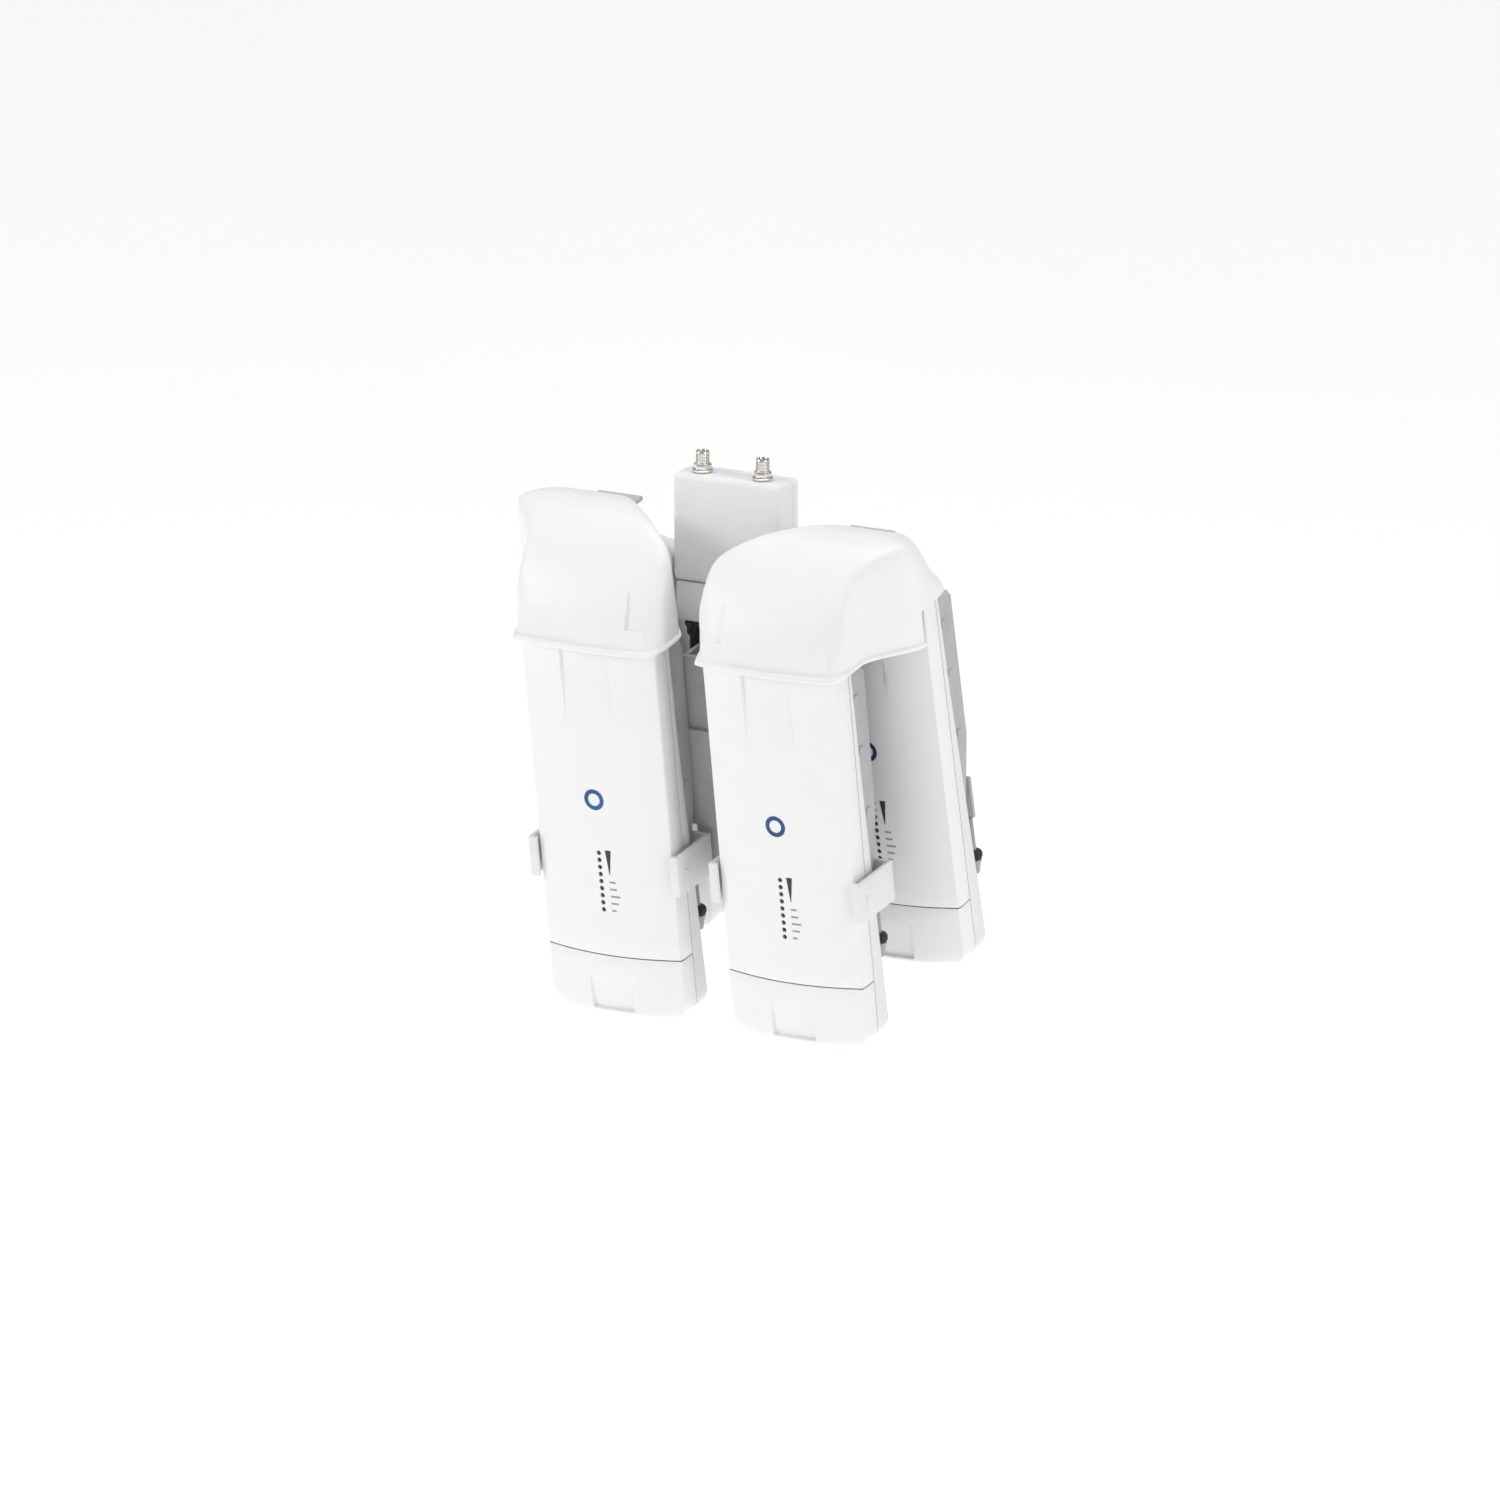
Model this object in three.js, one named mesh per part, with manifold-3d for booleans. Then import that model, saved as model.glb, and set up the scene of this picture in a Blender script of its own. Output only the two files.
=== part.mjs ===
// Outdoor wireless bridge: four slim radios on a shared frame, two hoods over their tops and one
// multiplexer box between them. Millimetres, +X right, +Y back, +Z up. The origin is the centre of
// the flat rear face of the mount block, where the assembly is bolted up.
import * as THREE from 'three';
import { mergeVertices } from 'three/addons/utils/BufferGeometryUtils.js';
import Module from 'manifold-3d';

const wasm = await Module();
wasm.setup();

// Driving dimensions. A radio's own frame has a across it, b backwards and c up along it.
const GAP = 0.3;
const WALL = 2.4;
const ORIGIN_Y = 136;
const ORIGIN_Z = -42;

const FRONT_PITCH = THREE.MathUtils.degToRad(9.2);
const REAR_PITCH = THREE.MathUtils.degToRad(12.7);
const HOOD_PITCH = THREE.MathUtils.degToRad(11.3);
const FRONT_X = 56;
const REAR_X = 78;
const REAR_Y = 54.8;
const REAR_Z = 30;

const RADIO_TOP = 6;
const RADIO_BOTTOM = -214;
const RADIO_HALF = 41.6;
const FACE_HALF = 40.8;
const FACE_CENTRE = -3.1;
const FACE_EDGE = 2.7;
const SEAM_B = 14.7;
const BACK_TOP = 19.7;
const BACK_BOTTOM = 30.7;
const CORNER = 9.5;
const DOOR_SEAM = -179;

const LED_A = -1;
const LED_TOP = -119;
const LED_PITCH = 4.13;
const LED_COUNT = 9;
const LED_RADIUS = 1.4;

const HOOD_HALF = 45;
const HOOD_REAR_HALF = 44.4;
const HOOD_FRONT = -6.2;
const HOOD_SHOULDER = 58.3;
const HOOD_ROOF = 61;
const HOOD_HEEL = 43;
const INNER_CUT = [-0.61, 0.66, 0.44];
const INNER_CUT_OFFSET = 68.6;
const OUTER_CUT = [0.768, 0.512, 0.385];
const OUTER_CUT_OFFSET = 98.8;
const CUT_FOOT = 30.5;
const HOOD_BACK = 86;
const HOOD_SHIFT = REAR_X - FRONT_X;
const SKIRT_REAR = 20.6;
const STEP_B = 54.5;

const BRACKET_HALF = 38.2;
const BRACKET_BACK = 36.5;
const CRADLE_BACK = 33.4;
const SHEET = 2.3;
const CROSS_TOP = -58;
const CROSS_BOTTOM = -113;

const CRADLE_TOP = -116;
const CRADLE_BOTTOM = -140;
const WING_A = 44;
const WING_FRONT = -0.8;
const SCREW_A = 35;
const SCREW_B = CRADLE_BACK + SHEET / 2;

const BOX_HALF = 33;
const BOX_FRONT = 53;
const BOX_BACK = 76;
const BOX_TOP = 87.6;
const COVER_BOTTOM = 28;
const BASE_BOTTOM = 6;

const JACK_HEIGHT = 11.4;
const JACK_B = 11.5;
const SPINE_HALF = 20;
const SPINE_BACK = 98.6;
const BOLT_X = 26;
const BOLT_C = [-70, -101];

const paint = (color, roughness, metalness = 0) =>
  new THREE.MeshStandardMaterial({ color, roughness, metalness });

const look = {
  white: () => paint(0xf4f5f5, 0.5),
  casing: () => paint(0xe9eaea, 0.55),
  box: () => paint(0xd9dbdc, 0.5),
  bracket: () => paint(0xa9abad, 0.6),
  dark: () => paint(0x222426, 0.65),
  nickel: () => paint(0xcfcdc8, 0.25, 1),
  board: () => paint(0x2c5a3c, 0.6),
};

const assembly = new THREE.Group();
assembly.position.set(0, -ORIGIN_Y, -ORIGIN_Z);
const root = new THREE.Group();
root.add(assembly);

// Closed geometry to a solid that can be joined and cut, and back.
function solid(geometry) {
  const bare = geometry.clone();
  bare.deleteAttribute('normal');
  bare.deleteAttribute('uv');
  const merged = mergeVertices(bare, 1e-3);
  return new wasm.Manifold(new wasm.Mesh({
    numProp: 3,
    vertProperties: merged.attributes.position.array,
    triVerts: new Uint32Array(merged.index.array),
  }));
}

function geometryOf(body) {
  const mesh = body.getMesh();
  const geometry = new THREE.BufferGeometry();
  geometry.setAttribute('position', new THREE.BufferAttribute(mesh.vertProperties, 3));
  geometry.setIndex(new THREE.BufferAttribute(mesh.triVerts, 1));
  geometry.computeVertexNormals();
  return geometry;
}

function place(name, body, material, parent, x = 0, y = 0, z = 0) {
  const mesh = new THREE.Mesh(geometryOf(body), material);
  mesh.name = name;
  mesh.position.set(x, y, z);
  parent.add(mesh);
  return mesh;
}

// An outline pushed through a straight depth. flat lies in x and y and rises along z, side lies in
// y and z and runs along x, and front lies in x and z and runs along y.
function extruded(outline, depth, steps = 4) {
  const shape = outline instanceof THREE.Shape ? outline : new THREE.Shape(
    outline.map(([u, v]) => new THREE.Vector2(u, v)));
  return new THREE.ExtrudeGeometry(shape, { depth, bevelEnabled: false, curveSegments: steps });
}

function flat(outline, z0, z1, steps) {
  return solid(extruded(outline, z1 - z0, steps).translate(0, 0, z0));
}

const ALONG_X = new THREE.Matrix4().makeBasis(
  new THREE.Vector3(0, 1, 0), new THREE.Vector3(0, 0, 1), new THREE.Vector3(1, 0, 0));
const ALONG_Y = new THREE.Matrix4().makeBasis(
  new THREE.Vector3(1, 0, 0), new THREE.Vector3(0, 0, 1), new THREE.Vector3(0, -1, 0));

function side(outline, x0, x1, steps) {
  return solid(extruded(outline, x1 - x0, steps).applyMatrix4(ALONG_X).translate(x0, 0, 0));
}

function front(outline, y0, y1, steps) {
  return solid(extruded(outline, y1 - y0, steps).applyMatrix4(ALONG_Y).translate(0, y1, 0));
}

function block(x0, x1, y0, y1, z0, z1) {
  const box = new THREE.BoxGeometry(x1 - x0, y1 - y0, z1 - z0);
  return solid(box.translate((x0 + x1) / 2, (y0 + y1) / 2, (z0 + z1) / 2));
}

function rounded(x0, x1, y0, y1, r) {
  const shape = new THREE.Shape();
  shape.moveTo(x0 + r, y0);
  shape.lineTo(x1 - r, y0);
  shape.absarc(x1 - r, y0 + r, r, -Math.PI / 2, 0);
  shape.lineTo(x1, y1 - r);
  shape.absarc(x1 - r, y1 - r, r, 0, Math.PI / 2);
  shape.lineTo(x0 + r, y1);
  shape.absarc(x0 + r, y1 - r, r, Math.PI / 2, Math.PI);
  shape.lineTo(x0, y0 + r);
  shape.absarc(x0 + r, y0 + r, r, Math.PI, Math.PI * 1.5);
  return shape;
}

// A profile of radius and height pairs turned about the upright axis.
function turned(profile, segments) {
  const points = profile.map(([r, h]) => new THREE.Vector2(r, h));
  return solid(new THREE.LatheGeometry(points, segments).rotateX(Math.PI / 2));
}

// A round bar along y, for holes and shanks.
function bar(x, z, y0, y1, r, segments = 8) {
  const pin = new THREE.CylinderGeometry(r, r, y1 - y0, segments);
  return solid(pin.translate(x, (y0 + y1) / 2, z));
}

const backAt = (c) => BACK_TOP + (BACK_BOTTOM - BACK_TOP) * (RADIO_TOP - c) / (RADIO_TOP - RADIO_BOTTOM);

// ---- Radio ----

// The radio's body shrunk by an inset: its cross-section, its wedge-shaped side view and its rounded
// front view, each pushed through and kept where all three agree.
function radioBody(inset) {
  const half = RADIO_HALF - inset;
  const faceHalf = FACE_HALF - inset;
  const section = new THREE.Shape();
  section.moveTo(-half, BACK_BOTTOM + 5);
  section.lineTo(-half, SEAM_B - 3);
  section.lineTo(-faceHalf, FACE_EDGE + inset);
  section.quadraticCurveTo(0, 2 * FACE_CENTRE - FACE_EDGE + inset, faceHalf, FACE_EDGE + inset);
  section.lineTo(half, SEAM_B - 3);
  section.lineTo(half, BACK_BOTTOM + 5);
  const top = RADIO_TOP - inset;
  const bottom = RADIO_BOTTOM + inset;
  const bevel = 8;
  const wedge = [
    [FACE_CENTRE - 5, bottom + 4], [FACE_CENTRE + 1 + inset, bottom], [BACK_BOTTOM - 5 - inset, bottom],
    [backAt(bottom) - inset, bottom + 5], [backAt(top) - inset, top - 4], [backAt(top) - 4 - inset, top],
    [FACE_CENTRE + bevel + inset, top], [FACE_CENTRE - 5, top - bevel - 5],
  ];
  const outline = rounded(-half, half, bottom, top, CORNER - inset);
  return flat(section, bottom - 1, top + 1, 8)
    .intersect(side(wedge, -half - 1, half + 1))
    .intersect(front(outline, -10, BACK_BOTTOM + 2, 3));
}

function radioShell() {
  const inside = radioBody(WALL);
  const hollow = radioBody(0).subtract(inside);
  const frontHalf = block(-60, 60, -20, SEAM_B - GAP / 2, DOOR_SEAM + GAP / 2, 40);
  const doorPart = block(-60, 60, -20, SEAM_B - GAP / 2, -240, DOOR_SEAM - GAP / 2);
  const rearHalf = block(-60, 60, SEAM_B + GAP / 2, 60, -240, 40);
  let radome = hollow.intersect(frontHalf);
  for (let i = 0; i < LED_COUNT; i++) {
    radome = radome.subtract(bar(LED_A, LED_TOP - i * LED_PITCH, -5, 12, LED_RADIUS));
  }
  const thumbOutline = [
    [-5, -191], [FACE_CENTRE + 0.1, -191], [FACE_CENTRE + 1.6, -211], [-5, -211]];
  const thumb = side(thumbOutline, -14, 13);
  const door = hollow.intersect(doorPart).subtract(thumb);
  const boss = block(-28, 28, BACK_TOP - 1, BRACKET_BACK - SHEET - 0.5, -60, -25);
  const inlet = block(-18, 18, SEAM_B - 2, BACK_BOTTOM - 9, -230, -200);
  const rear = hollow.intersect(rearHalf).subtract(inlet).add(boss.subtract(inside));
  return { radome, door, rear };
}

function lightPipe() {
  const middle = LED_TOP - LED_PITCH * (LED_COUNT - 1) / 2;
  const reach = LED_PITCH * (LED_COUNT - 1) / 2 + 3;
  let strip = block(LED_A - 3, LED_A + 3, 0.2, 2.7, middle - reach, middle + reach);
  for (let i = 0; i < LED_COUNT; i++) {
    strip = strip.add(bar(LED_A, LED_TOP - i * LED_PITCH, -2.2, 1, LED_RADIUS - GAP, 6));
  }
  return strip;
}

const circuitBoard = () => block(-33, 33, 8.5, 10.1, -165, -6).add(block(-22, 22, 4, 8.9, -95, -25));

const jack = () => turned([
  [0, 0], [5.4, 0], [5.4, 3.2], [3.7, 3.2], [3.7, JACK_HEIGHT], [0, JACK_HEIGHT]], 10);

// ---- Bracket, cradle and thumb screw of one radio ----

function mountBracket() {
  const outline = [
    [backAt(-130) + 0.5, -130], [BRACKET_BACK, -90], [BRACKET_BACK, -8], [BRACKET_BACK - 3, -5],
    [backAt(-5) + 0.5, -5]];
  const channel = side(outline, -BRACKET_HALF, BRACKET_HALF);
  const inside = block(-36, 36, 0, BRACKET_BACK - SHEET, -140, -SHEET - 5);
  const rib = (a) => block(a, a + 2, backAt(-30) + 2, BRACKET_BACK - 1, -52, -6);
  return channel.subtract(inside).add(rib(-33)).add(rib(31));
}

const cradlePlate = () => block(
  -BRACKET_HALF, BRACKET_HALF, CRADLE_BACK, CRADLE_BACK + SHEET, CRADLE_BOTTOM, CRADLE_TOP);

function wingedCradle() {
  const wingSide = [
    [WING_FRONT, CRADLE_BOTTOM + 2], [WING_FRONT + 3, CRADLE_BOTTOM], [22, CRADLE_BOTTOM],
    [30, CRADLE_BOTTOM + 7], [CRADLE_BACK + SHEET, CRADLE_BOTTOM + 7],
    [CRADLE_BACK + SHEET, CRADLE_TOP - 1], [22, CRADLE_TOP], [WING_FRONT, CRADLE_TOP - 4]];
  const outer = WING_A + SHEET;
  const cradle = side(wingSide, -outer, outer);
  const channel = block(-WING_A, WING_A, WING_FRONT + SHEET, CRADLE_BACK, -150, -100);
  const mouth = block(-41, 41, WING_FRONT - 2, WING_FRONT + SHEET + 1, -150, -100);
  return cradle.subtract(channel).subtract(mouth)
    .add(block(-outer, outer, CRADLE_BACK, CRADLE_BACK + SHEET, CRADLE_BOTTOM, CRADLE_TOP));
}

const thumbScrew = () => turned([
  [0, -34], [2.2, -33], [4.4, -25], [4.4, -21.5], [3.2, -20], [1.6, -19.5], [1.6, -GAP], [0, -GAP]], 12);

function buildRadio(where, x, y, z, pitch) {
  const frame = new THREE.Group();
  frame.position.set(x, y, z);
  frame.rotation.x = pitch;
  assembly.add(frame);
  const { radome, door, rear } = radioShell();
  place(`radio_${where}_radome`, radome, look.white(), frame);
  place(`radio_${where}_cable_door`, door, look.white(), frame);
  place(`radio_${where}_rear_case`, rear, look.casing(), frame);
  place(`radio_${where}_light_pipe`, lightPipe(), look.dark(), frame);
  place(`radio_${where}_circuit_board`, circuitBoard(), look.board(), frame);
  for (const [tag, a] of [['a', -16], ['b', 16]]) {
    place(`radio_${where}_antenna_jack_${tag}`, jack(), look.nickel(), frame, a, JACK_B, RADIO_TOP + GAP);
  }
  place(`bracket_${where}`, mountBracket(), look.bracket(), frame);
  const cradle = where.startsWith('front') ? wingedCradle() : cradlePlate();
  place(`cradle_${where}`, cradle, look.bracket(), frame);
  place(`thumb_screw_${where}`, thumbScrew(), look.dark(), frame, SCREW_A, SCREW_B, CRADLE_BOTTOM);
}

// ---- Hood, drawn for the right side and mirrored for the left ----

// Its plan shrunk by an inset: a front lobe over the front radio, a rear lobe further outward, a
// concave sweep between them on the outer side and a step on the inner side beside the box.
function hoodPlan(inset) {
  const left = -HOOD_HALF + inset;
  const right = HOOD_HALF - inset;
  const rearLeft = HOOD_SHIFT - HOOD_REAR_HALF + inset;
  const rearRight = HOOD_SHIFT + HOOD_REAR_HALF - inset;
  const back = HOOD_BACK - inset;
  const corner = inset - 2.2;
  const shape = new THREE.Shape();
  shape.moveTo(left + 6, corner);
  shape.quadraticCurveTo(0, 2 * (HOOD_FRONT + inset) - corner, right - 6, corner);
  shape.quadraticCurveTo(right, corner + 1, right, corner + 8);
  shape.lineTo(right, 22);
  shape.bezierCurveTo(right, 38, rearRight, 36, rearRight, 56);
  shape.lineTo(rearRight, back - 9);
  shape.quadraticCurveTo(rearRight, back, rearRight - 9, back);
  shape.lineTo(rearLeft + 3, back);
  shape.lineTo(rearLeft, back - 3);
  shape.lineTo(rearLeft, 53);
  shape.bezierCurveTo(rearLeft, 36, left, 40, left, 22);
  shape.lineTo(left, corner + 8);
  shape.quadraticCurveTo(left, corner + 1, left + 6, corner);
  return shape;
}

function hoodBody(inset) {
  const bottom = inset > 0 ? -2 : 0;
  const near = HOOD_FRONT - 1;
  const far = HOOD_BACK - inset;
  const profile = new THREE.Shape();
  profile.moveTo(near, bottom);
  profile.lineTo(near, 3);
  profile.lineTo(HOOD_FRONT + 3 + inset, 12);
  profile.bezierCurveTo(3 + inset, 33, 20 + inset, 49 - inset, 39, HOOD_SHOULDER - inset);
  profile.bezierCurveTo(44, HOOD_SHOULDER + 2.7 - inset, 50, HOOD_ROOF - inset, 56, HOOD_ROOF - inset);
  const heel = HOOD_HEEL - inset;
  profile.bezierCurveTo(66, HOOD_ROOF - 1.6 - inset, far - 6, heel + 12, far, heel);
  profile.lineTo(far, bottom);
  const left = -HOOD_HALF + inset;
  const right = HOOD_SHIFT + HOOD_REAR_HALF - inset;
  const top = HOOD_ROOF + 1 - inset;
  const crown = new THREE.Shape();
  crown.moveTo(left - 2, bottom);
  crown.lineTo(left, 42);
  crown.bezierCurveTo(left + 0.5, 54, left + 10, 60 - inset, left + 26, top);
  crown.lineTo(right - 14, top);
  crown.bezierCurveTo(right - 4, top - 1, right, top - 6, right, 46);
  crown.lineTo(right + 2, bottom);
  const above = block(-80, 120, -20, 120, CUT_FOOT - inset, 90);
  return flat(hoodPlan(inset), bottom, HOOD_ROOF + 1, 6)
    .intersect(side(profile, -80, 120, 6))
    .intersect(front(crown, -20, 120, 6))
    .subtract(above.trimByPlane(INNER_CUT, INNER_CUT_OFFSET - inset))
    .subtract(above.trimByPlane(OUTER_CUT, OUTER_CUT_OFFSET - inset));
}

function hood() {
  const bead = flat(hoodPlan(-1), 0, 2.6, 6).subtract(flat(hoodPlan(WALL), -1, 4, 6));
  const tab = block(HOOD_SHIFT - 14, HOOD_SHIFT + 14, HOOD_BACK - 10, HOOD_BACK + 3, 46.8, 49.2);
  const latch = block(-HOOD_HALF - 1.6, -HOOD_HALF + 1, 12, 20, 13, 27);
  return hoodBody(0).add(bead).add(tab).add(latch).subtract(hoodBody(WALL))
    .subtract(block(-90, 120, STEP_B, 110, -5, SKIRT_REAR));
}

// ---- Multiplexer box between the hoods ----

function boxBody(inset) {
  const half = BOX_HALF - inset;
  const round = 4 - inset / 2;
  const plan = rounded(-half, half, BOX_FRONT + inset, BOX_BACK - inset, round);
  const view = rounded(-half, half, COVER_BOTTOM + inset, BOX_TOP - inset, round);
  return flat(plan, COVER_BOTTOM + inset, BOX_TOP - inset, 3)
    .intersect(front(view, BOX_FRONT - 1, BOX_BACK + 1, 3));
}

function buildBox() {
  const hollow = boxBody(0).subtract(boxBody(WALL));
  const split = 68;
  const cover = hollow.intersect(block(-50, 50, 40, split - GAP / 2, 0, 100));
  const housing = hollow.intersect(block(-50, 50, split + GAP / 2, 90, 0, 100));
  place('multiplexer_front_cover', cover, look.box(), assembly);
  place('multiplexer_rear_housing', housing, look.box(), assembly);
  const base = flat(rounded(-BOX_HALF + 1.5, BOX_HALF - 1.5, BOX_FRONT + 1, BOX_BACK - 1, 3), BASE_BOTTOM,
    COVER_BOTTOM - GAP, 3);
  place('multiplexer_base', base, look.box(), assembly);
  const board = block(-28, 28, 63, 64.6, COVER_BOTTOM + 5, BOX_TOP - 6)
    .add(block(-20, 20, 58, 63.4, COVER_BOTTOM + 12, BOX_TOP - 20));
  place('multiplexer_circuit_board', board, look.board(), assembly);
  for (const [tag, x] of [['left', -18.5], ['right', 18.5]]) {
    place(`multiplexer_output_jack_${tag}`, jack(), look.nickel(), assembly, x, 61, BOX_TOP + GAP);
    const gland = turned([
      [0, -16], [2.6, -16], [2.6, -9], [4.2, -7], [4.2, -3], [5.2, -3], [5.2, -GAP], [0, -GAP]], 10);
    place(`multiplexer_cable_gland_${tag}`, gland, look.dark(), assembly, x * 1.25, 60, BASE_BOTTOM);
  }
  const holder = block(-24, 24, 66, BOX_BACK + GAP + 2.6, BASE_BOTTOM - GAP - SHEET, BASE_BOTTOM - GAP)
    .add(block(-24, 24, BOX_BACK + GAP, BOX_BACK + GAP + 2.6, BASE_BOTTOM - 2, 62))
    .add(block(-14, 14, 68, 70.6, -30, BASE_BOTTOM - 1));
  place('multiplexer_bracket', holder, look.bracket(), assembly);
}

// ---- Central frame ----

function buildFrame() {
  const lean = new THREE.Group();
  lean.rotation.x = FRONT_PITCH;
  assembly.add(lean);
  const face = BRACKET_BACK + GAP;
  const spineFront = face + SHEET + GAP;
  const outline = [
    [spineFront, -142], [82, -142], [SPINE_BACK, -104], [SPINE_BACK, -26], [66, -16], [spineFront, -16]];
  const spine = side(outline, -SPINE_HALF, SPINE_HALF)
    .subtract(block(-SPINE_HALF + SHEET, SPINE_HALF - SHEET, spineFront + SHEET, 120, -160, 0));
  place('central_spine', spine, look.dark(), lean);
  const frontReach = FRONT_X + 34;
  const frontOutline = rounded(-frontReach, frontReach, CROSS_BOTTOM, CROSS_TOP, 6);
  const frontPlate = front(frontOutline, face, face + SHEET, 3);
  place('front_cross_plate', frontPlate, look.bracket(), lean);

  const rearLean = new THREE.Group();
  rearLean.position.set(0, REAR_Y, REAR_Z);
  rearLean.rotation.x = REAR_PITCH;
  assembly.add(rearLean);
  const rearReach = REAR_X + 34;
  const rearOutline = rounded(-rearReach, rearReach, CROSS_BOTTOM, CROSS_TOP, 6);
  const rearPlate = front(rearOutline, face, face + SHEET, 3);
  const blockFront = face + SHEET + GAP;
  const rearPoint = (b, c) => [
    b * Math.cos(REAR_PITCH) - c * Math.sin(REAR_PITCH) + REAR_Y,
    b * Math.sin(REAR_PITCH) + c * Math.cos(REAR_PITCH) + REAR_Z];
  const upper = rearPoint(blockFront, CROSS_TOP - 2);
  const lower = rearPoint(blockFront, CROSS_BOTTOM + 2);
  const rearTurn = THREE.MathUtils.radToDeg(REAR_PITCH);
  const toPlate = (body) => body.translate(0, -REAR_Y, -REAR_Z).rotate(-rearTurn, 0, 0);
  let mountBlock = toPlate(side([lower, [ORIGIN_Y, lower[1]], [ORIGIN_Y, upper[1]], upper], -36, 36));
  let plate = rearPlate;
  let count = 0;
  for (const c of BOLT_C) {
    for (const x of [-BOLT_X, BOLT_X]) {
      const hole = bar(x, c, face - 1, blockFront + 5, 2.4 + GAP);
      plate = plate.subtract(hole);
      mountBlock = mountBlock.subtract(hole);
      const head = bar(x, c, face - GAP - 3.6, face - GAP, 4.4, 6);
      const bolt = head.add(bar(x, c, face - 1, blockFront + 4.6, 2.4));
      count += 1;
      place(`mount_bolt_${count}`, bolt, look.nickel(), rearLean);
    }
  }
  place('rear_cross_plate', plate, look.bracket(), rearLean);
  place('mount_block', mountBlock, look.dark(), rearLean);
}

for (const [tag, sign] of [['left', -1], ['right', 1]]) {
  buildRadio(`front_${tag}`, sign * FRONT_X, 0, 0, FRONT_PITCH);
  buildRadio(`rear_${tag}`, sign * REAR_X, REAR_Y, REAR_Z, REAR_PITCH);
  const frame = new THREE.Group();
  frame.position.set(sign * FRONT_X, 0, 0);
  frame.rotation.x = HOOD_PITCH;
  frame.scale.x = sign;
  assembly.add(frame);
  place(`hood_${tag}`, hood(), look.white(), frame);
}
buildBox();
buildFrame();

export default root;
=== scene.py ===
import math

import bmesh
import bpy
from mathutils import Matrix, Vector


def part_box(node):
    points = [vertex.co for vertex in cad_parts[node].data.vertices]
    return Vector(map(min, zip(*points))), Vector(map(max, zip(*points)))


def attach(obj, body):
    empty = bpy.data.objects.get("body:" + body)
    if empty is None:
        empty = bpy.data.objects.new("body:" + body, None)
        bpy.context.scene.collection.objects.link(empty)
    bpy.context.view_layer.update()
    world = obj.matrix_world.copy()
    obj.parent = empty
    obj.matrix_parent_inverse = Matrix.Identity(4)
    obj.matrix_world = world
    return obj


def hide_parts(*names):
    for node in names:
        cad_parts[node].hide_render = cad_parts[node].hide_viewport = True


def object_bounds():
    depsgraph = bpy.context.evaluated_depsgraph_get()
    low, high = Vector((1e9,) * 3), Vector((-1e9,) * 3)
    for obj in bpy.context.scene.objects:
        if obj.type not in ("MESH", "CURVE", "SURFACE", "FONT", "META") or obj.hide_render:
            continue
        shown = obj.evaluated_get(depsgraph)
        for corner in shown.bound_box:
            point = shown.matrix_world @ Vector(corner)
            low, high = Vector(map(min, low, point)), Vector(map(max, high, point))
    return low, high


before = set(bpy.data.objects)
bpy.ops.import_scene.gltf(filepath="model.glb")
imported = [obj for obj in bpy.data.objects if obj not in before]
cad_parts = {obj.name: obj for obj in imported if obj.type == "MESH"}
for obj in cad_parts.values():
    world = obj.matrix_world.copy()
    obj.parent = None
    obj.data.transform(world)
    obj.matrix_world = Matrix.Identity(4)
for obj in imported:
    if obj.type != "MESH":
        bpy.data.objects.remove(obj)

CAD_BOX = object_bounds()
MM = 0.001

# The same driving dimensions as the CAD model, in millimetres. A radio's own frame has a across it,
# b backwards and c up along it. A hood's has the same three axes and its own pitch.
ORIGIN = Vector((0, -136, 42))
FRONT_PITCH = math.radians(9.2)
REAR_PITCH = math.radians(12.7)
HOOD_PITCH = math.radians(11.3)
FRONT_X = 56
REAR_X = 78
REAR_Y = 54.8
REAR_Z = 30
GAP = 0.3
WALL = 2.4
SHEET = 2.3

RADIO_TOP = 6
RADIO_BOTTOM = -214
RADIO_HALF = 41.6
FACE_HALF = 40.8
FACE_CENTRE = -3.1
FACE_EDGE = 2.7
SEAM_B = 14.7
BACK_TOP = 19.7
BACK_BOTTOM = 30.7
CORNER = 9.5
DOOR_SEAM = -179

LED_A = -1
LED_TOP = -119
LED_PITCH = 4.13
LED_COUNT = 9
LED_RADIUS = 1.4
LED_BORE = (-8, 5)

BRACKET_HALF = 38.2
BRACKET_BACK = 36.5
BRACKET_CHEEK = 2.2
CRADLE_BACK = 33.4
CRADLE_TOP = -116
CRADLE_BOTTOM = -140
WING_A = 44
WING_FRONT = -0.8
WING_GRIP = 41.3
SCREW_A = 35
SCREW_B = CRADLE_BACK + SHEET / 2

HOOD_HALF = 45
HOOD_REAR_HALF = 44.4
HOOD_SHIFT = REAR_X - FRONT_X
HOOD_FRONT = -6.2
HOOD_BACK = 86
HOOD_SHOULDER = 58.3
HOOD_ROOF = 61
HOOD_HEEL = 43
CUT_FOOT = 30.5
JACK_HEIGHT = 11.4
NUT_RADIUS = 5.2
SKIRT_REAR = 20.6
STEP_B = 54.5

BOX_HALF = 33
BOX_FRONT = 53
BOX_BACK = 76
BOX_TOP = 87.6
COVER_BOTTOM = 28
BASE_BOTTOM = 6
BOX_SPLIT = 68
BOX_ROUND = 3.6
BASE_INSET = 1.5
JACK_X = 18.5
JACK_Y = 61
JACK_A = 16
JACK_B = 11.5
GLAND_X = JACK_X * 1.25
GLAND_Y = 60

RADIOS = {
    "front_left": (-FRONT_X, 0, 0, FRONT_PITCH),
    "front_right": (FRONT_X, 0, 0, FRONT_PITCH),
    "rear_left": (-REAR_X, REAR_Y, REAR_Z, REAR_PITCH),
    "rear_right": (REAR_X, REAR_Y, REAR_Z, REAR_PITCH),
}


# ---- Materials ----

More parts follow.
